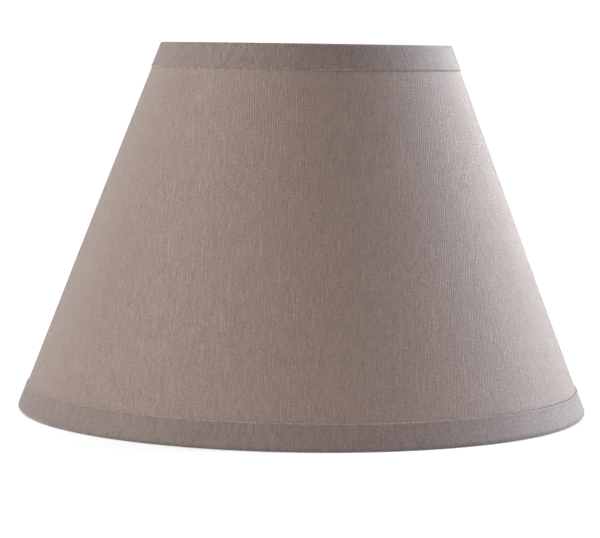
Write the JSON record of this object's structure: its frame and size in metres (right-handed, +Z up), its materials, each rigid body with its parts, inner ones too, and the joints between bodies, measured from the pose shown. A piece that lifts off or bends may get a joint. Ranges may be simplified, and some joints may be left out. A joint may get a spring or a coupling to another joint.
{
  "type": "lamp shade",
  "caption": "Tapered lamp shade of woven cloth on a stiff lining, bound at both rims, carried by a wire spider with a ring for the lamp holder and a lift-out reducer.",
  "frame": {"origin": "centre of the circle that the lower rim stands on", "axes": "+Z up the shade's axis to the narrow upper rim, -Y out of the front, +Y out of the back, where the seam is, +X to the right as seen from the front"},
  "size_m": [0.2984, 0.3001, 0.192],
  "materials": {
    "cover_cloth": "matt slub weave",
    "tape_cloth": "matt folded tape of the same weave",
    "stiff_sheet": "satin white sheet",
    "coated_wire": "white powder coat",
    "white_plastic": "moulded, satin",
    "adhesive_tape": "double-sided film tape"
  },
  "bodies": {
    "shade": {"fabric_cover": "cover_cloth", "backing_panel": "stiff_sheet", "seam_tape": "adhesive_tape", "top_trim": "tape_cloth", "bottom_trim": "tape_cloth", "top_ring": "coated_wire", "bottom_ring": "coated_wire", "fitter_arm_1": "coated_wire", "fitter_arm_2": "coated_wire", "fitter_arm_3": "coated_wire", "fitter_ring": "coated_wire"},
    "reducer": {"reducer_ring": "white_plastic"}
  },
  "joints": [
    {"name": "reducer_lift", "type": "slide", "parent": "shade", "child": "reducer", "axis": [0, 0, 1], "range_m": [0, 0.13]}
  ]
}
